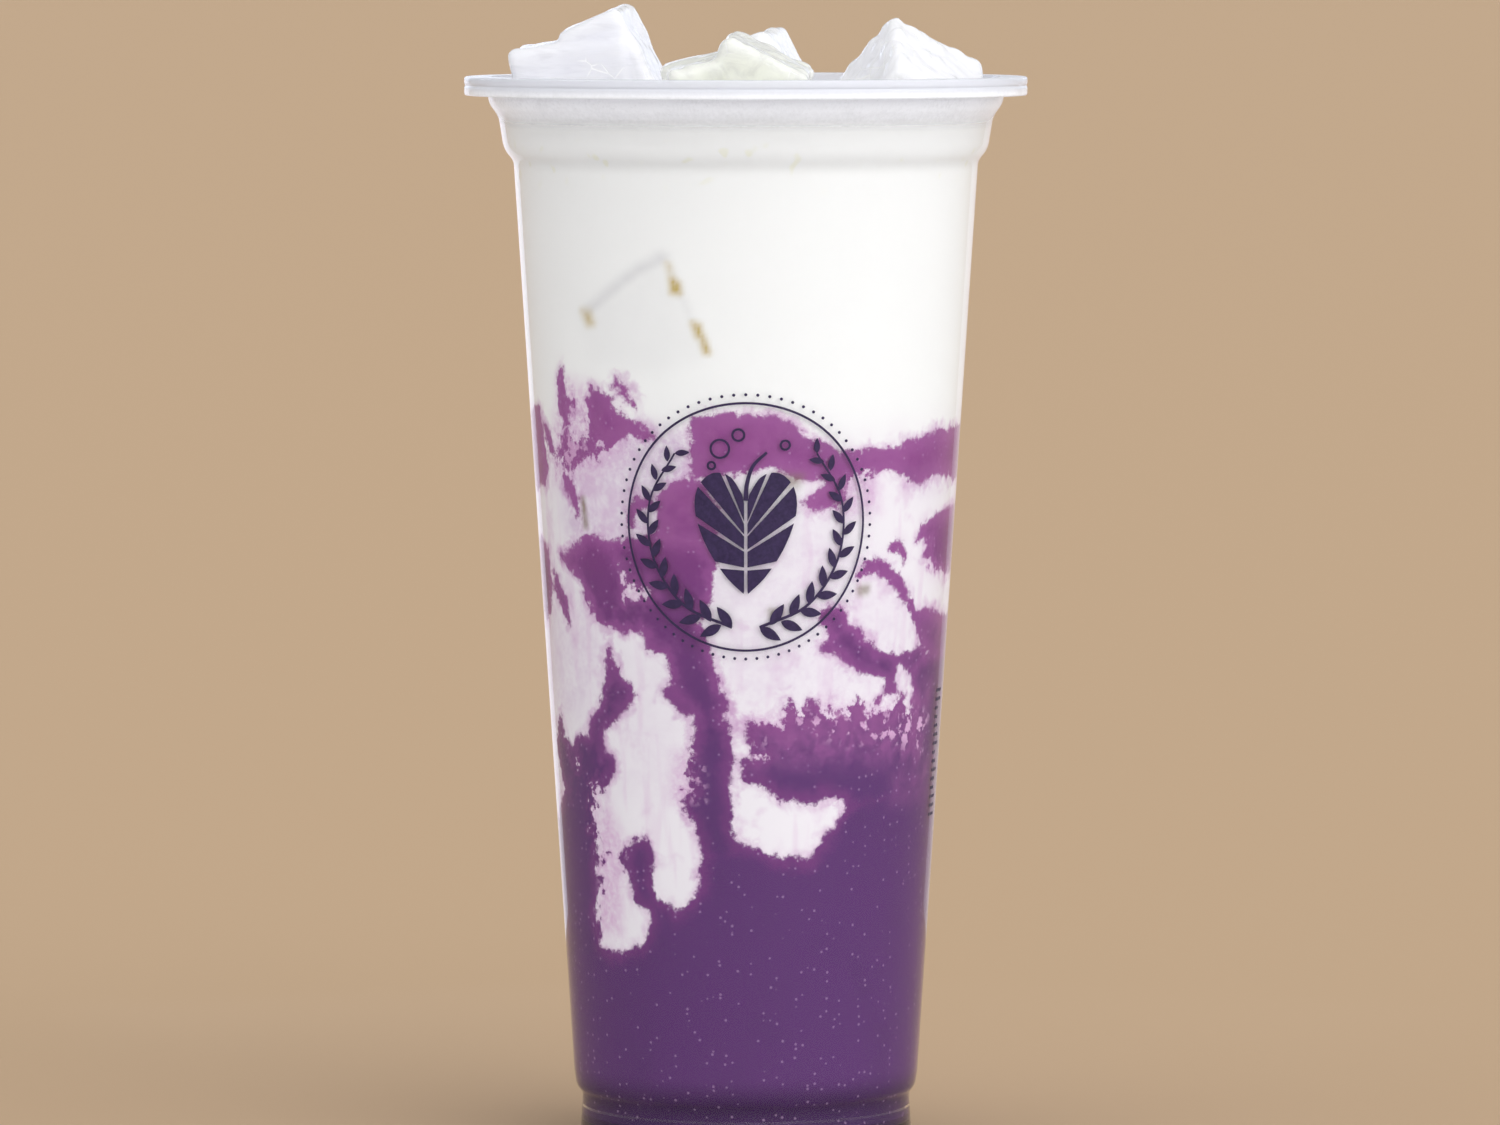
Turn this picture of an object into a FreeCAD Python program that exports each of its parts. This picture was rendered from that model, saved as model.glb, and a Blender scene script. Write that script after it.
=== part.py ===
"""A tall clear cup of taro bubble tea: purple taro, a marbled middle, milk on top and four blocks of ice."""
import FreeCAD, Part
import math
import os

Vec = FreeCAD.Vector

# ---- cup: outside radii and heights, millimetres ----
CUP_HEIGHT = 180.0        # foot to rim
OVER_RIM_Z = 200.0        # the space inside the cup is cut out to here
WALL = 0.85               # wall, measured level
RIM_R = 47.5              # the 95 mm lid size
RIM_DEPTH = 3.2           # how far the rim's skirt hangs down
RIM_FLANGE = 1.1          # thickness of the flange and of its skirt
RIM_EDGE = 0.7            # rounding of the rim's outer edges
RIM_GROOVE = 0.2          # depth of the crease round the rim
RIM_GROOVE_DROP = 1.45    # the crease's distance below the rim's top
NECK_R = 43.8             # just under the rim
NECK_FOOT_R = 43.35
NECK_FOOT_Z = 175.4
BAND_TOP_R = 41.75        # stacking band
BAND_TOP_Z = 173.4
BAND_FOOT_R = 40.95
BAND_FOOT_Z = 168.4
BODY_TOP_R = 39.2
BODY_TOP_Z = 165.8
BODY_FOOT_R = 29.15       # where the straight taper ends
BODY_FOOT_Z = 11.6
FOOT_TOP_R = 27.7         # the narrow foot under the ledge
FOOT_TOP_Z = 7.9
FOOT_R = 28.2
FOOT_EDGE = 0.4
FLOOR_RECESS = 2.2        # underside of the floor above the table
FLOOR = 1.0               # floor thickness
FLOOR_CORNER = 1.2

# ---- drink ----
MILK_LEVEL = 173.0
SWIRL_TOP_Z = 121.0       # mean height where the marbling gives way to milk
SWIRL_FOOT_Z = 47.0       # mean height where the marbling gives way to plain taro
WAVE_POINTS = 9           # grid on which each wavy boundary is worked out
WAVE_REACH = 44.0         # the boundary surfaces run out past the wall

# ---- ice ----
ICE_EDGE = 2.2            # melted rounding of the edges
ICE_WALL_GAP = 0.25       # meltwater left between the ice and the wall
# Each piece is one or two blocks frozen together. A block is its size along its own x, y, z;
# its turn, lean and nod in degrees; and where its highest corner is.
ICE = {
    "ice_left": [
        ((21.5, 19.0, 17.0), (-8.0, -8.0, 2.0), (-17.4, 9.0, 188.5)),
        ((13.0, 18.0, 21.0), (-8.0, -26.0, 2.0), (-19.2, 9.0, 193.4)),
    ],
    "ice_front": [
        ((18.0, 16.0, 18.0), (6.0, -14.0, 4.0), (2.0, -20.0, 187.0)),
        ((16.5, 17.0, 19.0), (-4.0, 25.0, 4.0), (-2.0, -20.0, 189.0)),
    ],
    "ice_back": [
        ((18.0, 19.0, 20.0), (-14.0, -25.0, 5.0), (7.2, 31.0, 189.8)),
    ],
    "ice_right": [
        ((20.5, 20.0, 17.5), (24.0, 26.0, -49.0), (24.6, 2.0, 192.0)),
    ],
}


def joined(points, bends=()):
    """Edges through (radius, height) points; an index in bends is the middle of an arc."""
    places = [Vec(r, 0, z) for r, z in points]
    edges = []
    i = 0
    while i < len(places) - 1:
        if i + 1 in bends:
            edges.append(Part.Arc(places[i], places[i + 1], places[i + 2]).toShape())
            i += 2
        else:
            edges.append(Part.makeLine(places[i], places[i + 1]))
            i += 1
    return edges


def turned(edges):
    """Closes the edges into a face and turns it once round the cup's axis."""
    face = Part.Face(Part.Wire(Part.__sortEdges__(edges)))
    return face.revolve(Vec(0, 0, 0), Vec(0, 0, 1), 360)


def wall_line(inset):
    """The cup's side from the neck down to the foot, moved in by inset, and which points are arc middles."""
    shoulder_r = (BODY_FOOT_R + FOOT_TOP_R) / 2 + 0.32
    shoulder_z = (BODY_FOOT_Z + FOOT_TOP_Z) / 2 - 0.7
    step_r = (BAND_FOOT_R + BODY_TOP_R) / 2 + 0.3
    step_z = (BAND_FOOT_Z + BODY_TOP_Z) / 2 + 0.1
    side = [
        (NECK_R, CUP_HEIGHT - RIM_FLANGE),
        (NECK_FOOT_R, NECK_FOOT_Z),
        (BAND_TOP_R, BAND_TOP_Z),
        (BAND_FOOT_R, BAND_FOOT_Z),
        (step_r, step_z),
        (BODY_TOP_R, BODY_TOP_Z),
        (BODY_FOOT_R, BODY_FOOT_Z),
        (shoulder_r, shoulder_z),
        (FOOT_TOP_R, FOOT_TOP_Z),
    ]
    return [(r - inset, z) for r, z in side], {4, 7}


def foot_corner(radius, z):
    """The middle point of a quarter round between the side and the floor."""
    reach = FLOOR_CORNER * (1 - math.sqrt(0.5))
    return (radius - reach, z + reach)


def make_cavity(inset):
    """The space inside the cup, moved in by inset from its outside, and open through the rim."""
    side, bends = wall_line(inset)
    floor_z = FLOOR_RECESS + FLOOR
    foot_r = FOOT_R - inset
    points = [(0, OVER_RIM_Z), (NECK_R - inset, OVER_RIM_Z)] + side
    points += [
        (foot_r, floor_z + FLOOR_CORNER),
        foot_corner(foot_r, floor_z),
        (foot_r - FLOOR_CORNER, floor_z),
        (0, floor_z),
        (0, OVER_RIM_Z),
    ]
    bends = {i + 2 for i in bends} | {len(side) + 3}
    return turned(joined(points, bends))


def make_cup(cavity):
    """The cup's outside with its curled rim, less the space inside it."""
    side, bends = wall_line(0.0)
    rim_foot = CUP_HEIGHT - RIM_DEPTH
    groove_z = CUP_HEIGHT - RIM_GROOVE_DROP
    skirt_r = RIM_R - RIM_FLANGE
    soft = RIM_EDGE * (1 - math.sqrt(0.5))
    rim = [
        (0, CUP_HEIGHT),
        (RIM_R - RIM_EDGE, CUP_HEIGHT),
        (RIM_R - soft, CUP_HEIGHT - soft),
        (RIM_R, CUP_HEIGHT - RIM_EDGE),
        (RIM_R, groove_z + RIM_GROOVE),
        (RIM_R - RIM_GROOVE, groove_z),
        (RIM_R, groove_z - RIM_GROOVE),
        (RIM_R, rim_foot + RIM_EDGE),
        (RIM_R - soft, rim_foot + soft),
        (RIM_R - RIM_EDGE, rim_foot),
        (skirt_r, rim_foot),
        (skirt_r, CUP_HEIGHT - RIM_FLANGE),
    ]
    ring_r = FOOT_R - RIM_FLANGE
    foot = [
        (FOOT_R, FOOT_EDGE),
        (FOOT_R - FOOT_EDGE, 0),
        (ring_r, 0),
        (ring_r, FLOOR_RECESS),
        (0, FLOOR_RECESS),
        (0, CUP_HEIGHT),
    ]
    bends = {2, 8} | {i + len(rim) for i in bends}
    body = turned(joined(rim + side + foot, bends))
    return body.cut(cavity)


def wavy_block(height, waves):
    """Everything above a wavy level surface, as one tall solid."""
    step = 2 * WAVE_REACH / (WAVE_POINTS - 1)
    rows = []
    for i in range(WAVE_POINTS):
        x = -WAVE_REACH + i * step
        rows.append([Vec(x, -WAVE_REACH + j * step, height + waves(x, -WAVE_REACH + j * step))
                     for j in range(WAVE_POINTS)])
    surface = Part.BSplineSurface()
    surface.interpolate(rows)
    return surface.toShape().extrude(Vec(0, 0, CUP_HEIGHT))


def swirl_top_waves(x, y):
    """The milk dips into the marbling on one side and rides up on the other."""
    return -0.08 * x + 2.6 * math.sin((x - 30) / 13) + 1.6 * math.sin(y / 12)


def swirl_foot_waves(x, y):
    """The plain taro stands higher to the right; tongues of milk push it down at the left."""
    return 0.22 * x + 3.2 * math.sin((x + 8) / 12) + 2.2 * math.cos(y / 11)


def ice_block(size, angles, top):
    """A rounded block of ice, tilted, with its highest corner brought to top."""
    length, width, height = size
    block = Part.makeBox(length, width, height)
    block = block.makeFillet(ICE_EDGE, block.Edges)
    turn, lean, nod = angles
    spin = FreeCAD.Rotation(turn, lean, nod)
    corners = [Vec(i * length, j * width, k * height) for i in (0, 1) for j in (0, 1) for k in (0, 1)]
    highest = max((spin.multVec(c) for c in corners), key=lambda c: c.z)
    block.Placement = FreeCAD.Placement(Vec(*top) - highest, spin)
    return block


def ice_piece(blocks):
    """The blocks of one piece, frozen together."""
    solids = [ice_block(*block) for block in blocks]
    return solids[0].multiFuse(solids[1:]) if len(solids) > 1 else solids[0]


def one_solid(shape):
    """The largest solid of a result, so that each piece is written as one solid."""
    return max(shape.Solids, key=lambda s: s.Volume)


def build():
    """All pieces by node name."""
    cavity = make_cavity(WALL)
    pieces = {"cup": make_cup(cavity)}

    ice_room = make_cavity(WALL + ICE_WALL_GAP)
    ice = {name: ice_piece(blocks).common(ice_room) for name, blocks in ICE.items()}

    above_milk = Part.makeCylinder(RIM_R, CUP_HEIGHT, Vec(0, 0, MILK_LEVEL))
    drink = cavity.cut(above_milk)
    for block in ice.values():
        drink = drink.cut(block)

    over_swirl = wavy_block(SWIRL_TOP_Z, swirl_top_waves)
    over_taro = wavy_block(SWIRL_FOOT_Z, swirl_foot_waves)
    pieces["milk_top"] = drink.common(over_swirl)
    pieces["taro_swirl"] = drink.common(over_taro).cut(over_swirl)
    pieces["taro_base"] = drink.cut(over_taro)
    pieces.update(ice)
    return {name: one_solid(shape) for name, shape in pieces.items()}


os.makedirs("parts", exist_ok=True)
for node, solid in build().items():
    solid.exportStep(os.path.join("parts", node + ".step"))
    box = solid.BoundBox
    print("%-11s %9.0f mm3  x %6.1f..%5.1f  y %6.1f..%5.1f  z %6.1f..%5.1f  valid %s" % (
        node, solid.Volume, box.XMin, box.XMax, box.YMin, box.YMax, box.ZMin, box.ZMax, solid.isValid()))
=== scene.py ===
# %% [markdown]
# # A cup of taro bubble tea
# A tall clear cup holds mashed taro, a marbled middle and cold milk, with ice standing out of the top. The
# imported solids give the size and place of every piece. This lesson builds the looks on them: first the
# light and the camera, then the cup, the drink, the ice, the froth and the printed mark.

# %% Load the frame
import math
import random

import bmesh
import bpy
import numpy as np
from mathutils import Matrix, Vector


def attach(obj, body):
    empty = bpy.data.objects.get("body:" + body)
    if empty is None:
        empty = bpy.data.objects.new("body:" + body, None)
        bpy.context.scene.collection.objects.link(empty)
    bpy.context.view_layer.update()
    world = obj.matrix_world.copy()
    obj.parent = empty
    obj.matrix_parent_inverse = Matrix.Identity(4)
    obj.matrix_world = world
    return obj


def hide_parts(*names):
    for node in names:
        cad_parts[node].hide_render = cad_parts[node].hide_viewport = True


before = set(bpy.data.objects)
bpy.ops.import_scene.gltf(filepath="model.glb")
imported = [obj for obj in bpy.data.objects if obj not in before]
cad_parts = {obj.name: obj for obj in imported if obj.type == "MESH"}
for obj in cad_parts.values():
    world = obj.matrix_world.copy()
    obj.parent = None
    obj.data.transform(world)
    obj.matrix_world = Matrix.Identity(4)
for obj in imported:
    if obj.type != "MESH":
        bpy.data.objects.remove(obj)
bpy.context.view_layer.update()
MM = 0.001
print("pieces in the frame:", sorted(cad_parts))

# %% [markdown]
# ## Small helpers for node trees
# A material or a Geometry Nodes tree is many nodes joined by links. `put` adds one node, sets its own
# options and fills its sockets, with a plain value or with a link from another node. It gives back a wire,
# which is the node's first output, or another one when asked for by name. Wires are added and multiplied
# like numbers, and each sum adds a Math node, so that a tree reads like a formula.

# %% Node helpers
class Wire:
    """One output of a node; a sum of wires and numbers adds a Math node to its tree."""

    def __init__(self, node, output=0):
        self.node = node
        self.tree = node.id_data
        self.socket = node.outputs[output]

    def __getitem__(self, output):
        return Wire(self.node, output)

    def __add__(self, other):
        return calc("ADD", self, other)

    def __sub__(self, other):
        return calc("SUBTRACT", self, other)

    def __rsub__(self, other):
        return put("ShaderNodeMath", {0: other, 1: self}, operation="SUBTRACT")

    def __mul__(self, other):
        return calc("MULTIPLY", self, other)

    __radd__, __rmul__ = __add__, __mul__


def fill(node, sockets):
    """Sets a node's sockets: a wire is linked, and any other value is typed in."""
    for name, value in sockets.items():
        if isinstance(value, Wire):
            node.id_data.links.new(value.socket, node.inputs[name])
        else:
            node.inputs[name].default_value = value


def put(kind, sockets=None, tree=None, **options):
    """Adds a node to the tree of the wires it is given; a node that is given none is told its tree."""
    wires = [value for value in (sockets or {}).values() if isinstance(value, Wire)]
    node = (tree or wires[0].tree).nodes.new(kind)
    for name, value in options.items():
        setattr(node, name, value)
    fill(node, sockets or {})
    return Wire(node) if len(node.outputs) else None


def calc(operation, a, b=0.0):
    return put("ShaderNodeMath", {0: a, 1: b}, operation=operation)


def capped(total):
    """Keeps a sum between 0 and 1."""
    total.node.use_clamp = True
    return total


def ramp(value, start, end, low=0.0, high=1.0):
    """Goes smoothly from low to high while value goes from start to end."""
    return put("ShaderNodeMapRange", {"Value": value, "From Min": start, "From Max": end,
                                      "To Min": low, "To Max": high},
               interpolation_type="SMOOTHSTEP")


# %% Colours, noise and materials
def colour(red, green, blue):
    """A colour from 0 to 255 as the linear colour that Blender's sockets take."""
    def linear(c):
        c = c / 255
        return c / 12.92 if c <= 0.04045 else ((c + 0.055) / 1.055) ** 2.4
    return (linear(red), linear(green), linear(blue), 1.0)


def tint(amount, under, over):
    """Lays the colour over on the colour under by amount."""
    return put("ShaderNodeMix", {0: amount, 6: under, 7: over}, data_type="RGBA")[2]


def layered(under, layers):
    """Lays one tint after another on a colour, each given as its amount and its red, green and blue."""
    for amount, over in layers:
        under = tint(amount, under, colour(*over))
    return under


def grain(place, scale, detail=3.0, roughness=0.55, distortion=0.0):
    """Noise around zero, from about -0.5 to 0.5."""
    return put("ShaderNodeTexNoise", {"Vector": place, "Scale": scale, "Detail": detail,
                                      "Roughness": roughness, "Distortion": distortion}) - 0.5


def bumped(height, strength, distance):
    """A normal that makes the light see small bumps."""
    return put("ShaderNodeBump", {"Height": height, "Strength": strength, "Distance": distance})


def new_material(name):
    """An empty material: its Principled shader and the wire of the object's own coordinates."""
    material = bpy.data.materials.new(name)
    material.use_nodes = True
    tree = material.node_tree
    tree.nodes.clear()
    surface = put("ShaderNodeBsdfPrincipled", tree=tree)
    put("ShaderNodeOutputMaterial", {"Surface": surface})
    return material, surface.node, put("ShaderNodeTexCoord", tree=tree)["Object"]


# %% [markdown]
# ## Camera
# A long lens from a metre and a half away, a little above the rim and tilted down by under four degrees. A
# long lens keeps the cup's sides nearly straight, and the foot just runs out of the frame.

# %% Camera
def link_object(name, data):
    """Puts a mesh, a camera or a lamp in the scene as an object."""
    made = bpy.data.objects.new(name, data)
    bpy.context.scene.collection.objects.link(made)
    return made


TILT_DOWN = 3.861
camera_data = bpy.data.cameras.new("camera")
camera_data.lens = 220.9
camera_data.sensor_width = 36.0
camera_data.clip_end = 200.0
camera = link_object("camera", camera_data)
camera.location = (0.0007, -1.555, 0.2027)
camera.rotation_euler = (math.radians(90 - TILT_DOWN), 0.0, 0.0)
bpy.context.scene.camera = camera
print("camera looks down by %.2f degrees" % TILT_DOWN)

# %% [markdown]
# ## Floor and light
# The cup stands on a plain sand-coloured sweep. The floor is a very wide disc, so that it reaches the
# horizon from low views too. The sky gives most of the light, because light that comes from everywhere also
# gets through a clear wall without noise; a broad soft sun from the right makes the milk's right side the
# brighter, and two tall bluish panels behind the cup draw the pale line down each edge of the plastic.

# %% Floor
FLOOR_SAND = colour(196, 168, 137)
BACKDROP_SAND = colour(193, 166, 136)
PALE_BOUNCE = (0.74, 0.73, 0.74, 1.0)  # the floor as other things are lit by it
FLOOR_RADIUS = 60.0
FLOOR_STEPS = 96


def mesh_of(name, points, edges=(), faces=()):
    """A mesh from its points, and its edges or faces as numbers of points."""
    mesh = bpy.data.meshes.new(name)
    mesh.from_pydata(points, edges, faces)
    return mesh


def around(radius, steps, closed=False):
    """Points (x, y) round a circle; a closed round ends where it began."""
    return [(radius * math.cos(a), radius * math.sin(a))
            for a in np.linspace(0, 2 * math.pi, steps, endpoint=closed)]


rim_points = [(x, y, 0.0) for x, y in around(FLOOR_RADIUS, FLOOR_STEPS)]
floor = link_object("floor", mesh_of("floor", rim_points, faces=[range(FLOOR_STEPS)]))
material, shader, place = new_material("sand paper sweep")
bounced = calc("GREATER_THAN", put("ShaderNodeLightPath", tree=place.tree)["Diffuse Depth"], 0.5)
fill(shader, {"Base Color": tint(bounced, FLOOR_SAND, PALE_BOUNCE), "Roughness": 0.9,
              "Specular IOR Level": 0.1})
floor.data.materials.append(material)
bpy.context.scene.view_settings.view_transform = "Standard"
print("floor: %.0f m across" % (2 * FLOOR_RADIUS))

# %% Sky
world = bpy.data.worlds.new("studio")
bpy.context.scene.world = world
world.use_nodes = True
sky = world.node_tree
sky.nodes.clear()
toward = put("ShaderNodeTexCoord", tree=sky)["Generated"]
light_path = put("ShaderNodeLightPath", tree=sky)


def softbox(direction, strength):
    """A soft round patch of light in the sky around a direction."""
    facing = put("ShaderNodeVectorMath", {0: toward, 1: Vector(direction).normalized()},
                 operation="DOT_PRODUCT")["Value"]
    return ramp(facing, 0.4, 1.0, 0.0, strength)


even = 0.5 + light_path["Is Glossy Ray"] * 0.1
lit = even + (softbox((0.75, -0.62, 0.3), 1.58) + softbox((-0.72, -0.55, 0.35), 0.62))
light = put("ShaderNodeBackground", {"Color": (0.985, 0.987, 0.995, 1.0), "Strength": lit})
backdrop = put("ShaderNodeBackground", {"Color": BACKDROP_SAND, "Strength": 1.0}, sky)
shown = put("ShaderNodeMixShader", {0: light_path["Is Camera Ray"], 1: light, 2: backdrop})
put("ShaderNodeOutputWorld", {"Surface": shown})
print("sky nodes:", len(sky.nodes))


# %% Lamps
def lamp(name, kind, energy, location, target):
    """A lamp at location that shines at target."""
    made = link_object(name, bpy.data.lights.new(name, kind))
    made.data.energy = energy
    made.location = location
    made.rotation_euler = (Vector(target) - made.location).to_track_quat("-Z", "Y").to_euler()
    return made


sun = lamp("soft sun", "SUN", 0.35, (1.1, -1.9, 1.7), (0, 0, 0.09))
sun.data.angle = math.radians(40)
for name, side_x, energy in (("left edge panel", -0.075, 0.012), ("right edge panel", 0.085, 0.005)):
    panel = lamp(name, "AREA", energy, (side_x, 0.22, 0.125), (0, 0, 0.1))
    panel.data.shape = "RECTANGLE"
    panel.data.size = 0.12
    panel.data.size_y = 0.24
    panel.data.spread = math.radians(60)
    panel.data.color = (0.70, 0.78, 1.0)
    panel.visible_camera = False

# %% [markdown]
# ## Turning shapes on an axis
# The cup and the drink are both shapes of revolution. A lathe in Geometry Nodes sweeps a half outline round
# a circle, so one tree makes both, and the outline is written only once, in millimetres of radius and
# height. The Spin tool would do it as well, but the tree keeps the number of steps as a named input.

# %% Trees that make meshes
SOCKET_KINDS = {int: "NodeSocketInt", float: "NodeSocketFloat", type(None): "NodeSocketMaterial"}


def new_tree(name, inputs):
    """A Geometry Nodes tree and the wires of its inputs; an input of None is for a material."""
    tree = bpy.data.node_groups.new(name, "GeometryNodeTree")
    tree.interface.new_socket("Geometry", in_out="INPUT", socket_type="NodeSocketGeometry")
    for label, value in inputs.items():
        socket = tree.interface.new_socket(label, in_out="INPUT", socket_type=SOCKET_KINDS[type(value)])
        if value is not None:
            socket.default_value = value
    tree.interface.new_socket("Geometry", in_out="OUTPUT", socket_type="NodeSocketGeometry")
    return tree, put("NodeGroupInput", tree=tree)


def end_tree(geometry, finish=None):
    """Ends a tree: instances become real, and the material is set."""
    tree = geometry.tree
    real = put("GeometryNodeRealizeInstances", {"Geometry": geometry})
    coated = put("GeometryNodeSetMaterial", {"Geometry": real})
    if finish:
        fill(coated.node, {"Material": finish})
    put("NodeGroupOutput", {"Geometry": coated})


def plain_mesh(carrier, name):
    """The mesh that an object's modifiers make of it; the object itself goes."""
    bpy.context.view_layer.update()
    mesh = bpy.data.meshes.new_from_object(carrier.evaluated_get(bpy.context.evaluated_depsgraph_get()))
    mesh.name = name
    carrier.modifiers.clear()
    bpy.data.objects.remove(carrier)
    return mesh


def run_tree(name, source, tree, values):
    """Runs a tree on a mesh and keeps the result as a plain mesh."""
    identifiers = {s.name: s.identifier for s in tree.interface.items_tree if s.in_out == "INPUT"}
    carrier = link_object(name + "_source", source)
    modifier = carrier.modifiers.new("tree", "NODES")
    modifier.node_group = tree
    for label, value in values.items():
        modifier[identifiers[label]] = value
    return plain_mesh(carrier, name)


# %% The lathe
SPINE = 0.01  # radius of the circle that the outline is swept along

lathe, given = new_tree("lathe", {"Steps Round": 128, "Finish": None})
outline = put("GeometryNodeMeshToCurve", {"Mesh": given["Geometry"]})
circle = put("GeometryNodeCurvePrimitiveCircle", {"Resolution": given["Steps Round"], "Radius": SPINE})
swept = put("GeometryNodeCurveToMesh", {"Curve": circle, "Profile Curve": outline})
closed = put("GeometryNodeMergeByDistance", {"Geometry": swept, "Distance": 2e-6})
end_tree(put("GeometryNodeFlipFaces", {"Mesh": closed}), given["Finish"])


def turned(name, half_outline, steps, finish):
    """Turns a half outline of (radius, height) in mm, which runs up the outside and ends on the axis."""
    line = mesh_of(name + "_outline", [(r * MM - SPINE, -z * MM, 0.0) for r, z in half_outline],
                   [(i, i + 1) for i in range(len(half_outline) - 1)])
    made = run_tree(name, line, lathe, {"Steps Round": steps, "Finish": finish})
    made.shade_smooth()
    made.set_sharp_from_angle(angle=math.radians(40))
    print("%s: %d faces" % (name, len(made.polygons)))
    return made


# %% [markdown]
# ## The cup's outline
# A thin moulded cup: a narrow foot under a small ledge, a straight taper, a stacking band with a step below
# it, a short flared neck and a flange that ends in a skirt. The corners of a moulded cup are never sharp,
# so each corner of the outline gets its own small radius, given beside the point.

# %% Cup outline
WALL = 0.85
CUP_SIDE = [(43.8, 178.9, 0.3), (43.35, 175.4, 1.6), (41.75, 173.4, 1.2), (40.95, 168.4, 1.0),
            (40.4, 167.2, 1.4), (39.2, 165.8, 1.6), (29.15, 11.6, 2.4), (28.75, 9.05, 1.6), (27.7, 7.9, 1.0)]


def rounded(points, steps=5):
    """Rounds each (radius, height, rounding) corner of an open outline with a short arc."""
    out = []
    for i, (x, y, size) in enumerate(points):
        here = Vector((x, y))
        if i == 0 or i == len(points) - 1 or size == 0:
            out.append((x, y))
            continue
        back = Vector(points[i - 1][:2]) - here
        ahead = Vector(points[i + 1][:2]) - here
        reach = min(size, 0.45 * back.length, 0.45 * ahead.length)
        start = here + back.normalized() * reach
        end = here + ahead.normalized() * reach
        for k in range(steps + 1):
            t = k / steps
            point = start * (1 - t) ** 2 + here * 2 * t * (1 - t) + end * t ** 2
            out.append((point.x, point.y))
    return out


def side(inset):
    """The cup's side from the foot up to the neck, moved in by inset."""
    return [(r - inset, z, size) for r, z, size in reversed(CUP_SIDE)]


cup_outline = rounded(
    [(0, 2.2, 0), (27.1, 2.2, 0.3), (27.1, 0, 0.2), (28.2, 0, 0.4)] + side(0)
    + [(46.4, 178.9, 0.4), (46.4, 176.8, 0.2), (47.5, 176.8, 0.7), (47.5, 178.2, 0.15), (47.3, 178.5, 0.15),
       (47.5, 178.8, 0.15), (47.5, 180, 0.7), (42.95, 180, 0.35)] + list(reversed(side(WALL)))
    + [(27.35, 3.2, 1.2), (0, 3.2, 0)])


def wall_radius(z):
    """The outside radius of the cup at height z, in millimetres, for numbers or arrays."""
    line = rounded(side(0))
    return np.interp(z, [p[1] for p in line], [p[0] for p in line])


print("cup outline: %d points, radius at mid height %.1f mm" % (len(cup_outline), wall_radius(100.0)))

# %% [markdown]
# ## Clear plastic
# Thin polypropylene is clear but not glassy. It shows what lies behind it, has a soft gloss, and turns
# milky where it is thick or seen edge on. A Principled shader with full transmission does this; its
# transmission falls from the neck up, where the rim is thick and a film of milk has dried on the inside.

# %% Plastic
clear_plastic, shader, place = new_material("clear cup plastic")
height = put("ShaderNodeSeparateXYZ", {0: place})[2]
haze = ramp(height, 0.1710, 0.1750)
on_neck = ramp(height, 0.1786, 0.1768)
mottled = grain(place, 1500.0, 3.0, 0.7) * 0.35 + grain(place, 160.0, 2.0) * 0.25
film = haze * (ramp(height, 0.1786, 0.1768, 0.66, 0.96) + mottled * on_neck)
clear_body = tint(haze, colour(253, 253, 254), colour(253, 253, 255))
fill(shader, {"Transmission Weight": capped(0.985 - film),
              "Base Color": tint(on_neck, colour(239, 240, 246), clear_body),
              "Roughness": haze * 0.2 + 0.07, "IOR": 1.13,
              "Coat Weight": 0.5, "Coat Roughness": 0.07, "Coat IOR": 1.34,
              "Normal": bumped(grain(place, 60.0, 2.0), 0.05, 0.001)})

# %% Make the cup
CUP_STEPS = 288
cup = link_object("clear_cup", turned("clear_cup", cup_outline, CUP_STEPS, clear_plastic))
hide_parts("cup")
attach(cup, "root")

# %% [markdown]
# ## The drink
# Taro, marbling and milk touch the wall all the way down, with no gap of air. The drink is one turned shape
# that reaches a fifth of a millimetre into the wall, so that the plastic seems filled. The marbling is
# drawn on it as a field: for each point of the wall, the distance in millimetres to the nearest edge of the
# taro, plus inside and minus outside. A field stays smooth between the mesh's points, so the edges can be
# cut crisp and ragged later, in the material, at a finer scale than the mesh.

# %% Drink outline
INTO_WALL = 0.22
MILK_LEVEL = 173.0


def drink_outline():
    """From the floor's middle up the wall, with close steps where it is marbled, to the milk's middle."""
    foot = [(r, 3.2 - INTO_WALL) for r in (0, 5, 10, 15, 20, 24)]
    foot += [(26.4, 3.0), (27.2, 3.5), (27.55, 4.4)]
    heights = [*np.arange(5.5, 32, 1.5), *np.arange(32, 152, 0.64), *np.arange(152.5, 172.6, 1.3)]
    wall = [(float(wall_radius(z)) - WALL + INTO_WALL, float(z)) for z in heights]
    top_r = float(wall_radius(MILK_LEVEL)) - WALL + INTO_WALL
    top = [(top_r, 173.35), (top_r - 0.45, 173.22), (top_r - 1.2, 173.06)]
    top += [(r, MILK_LEVEL) for r in (38.5, 36, 33, 30, 26, 22, 18, 14, 10, 6, 3, 0)]
    return foot + wall + top


outline_points = drink_outline()
print("drink outline: %d points" % len(outline_points))

# %% [markdown]
# ## Drawing the marbling
# Each patch of taro or milk is a closed outline of (degrees round the cup from the front, height in mm), in
# the order in which it is laid on. Taro patches fill, milk patches cut them back. Washes are soft tints,
# each with the width of its soft edge in mm, its strength and its outline: lilac where a little taro has
# mixed into the milk, blush on thin taro, curdled, flecked and puffed where taro and milk break up into
# curds, the ghost of a block of ice just behind the milk, and the tea-brown stains where its corners touch
# the wall.

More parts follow.
